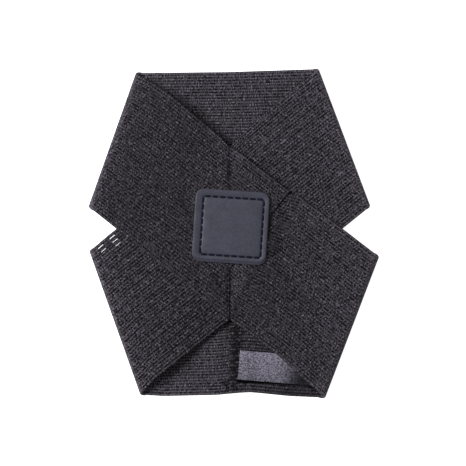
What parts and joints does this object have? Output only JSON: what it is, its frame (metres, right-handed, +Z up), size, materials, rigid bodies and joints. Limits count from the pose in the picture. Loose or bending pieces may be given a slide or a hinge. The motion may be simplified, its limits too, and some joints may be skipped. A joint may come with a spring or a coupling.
{
  "type": "ankle wrap",
  "caption": "Figure-of-eight elastic ankle wrap lying flat: a wide ribbed band with an ankle loop, a foot loop, an open heel and a square rubber badge at the crossing.",
  "frame": {"origin": "under the middle of the wrap's outline, on the surface that it lies on", "axes": "+Z up from the surface towards the badge, +Y towards the ankle loop, +X to the right as seen from above"},
  "size_m": [0.1474, 0.1671, 0.0139],
  "materials": {
    "elastic": "ribbed knitted elastic, matt charcoal with fine light flecks",
    "badge_rubber": "soft moulded rubber, satin slate grey",
    "label_satin": "woven satin tape, grey"
  },
  "bodies": {
    "root": {"ankle_strap": "elastic", "foot_strap": "elastic", "badge": "badge_rubber", "label": "label_satin"}
  },
  "joints": []
}
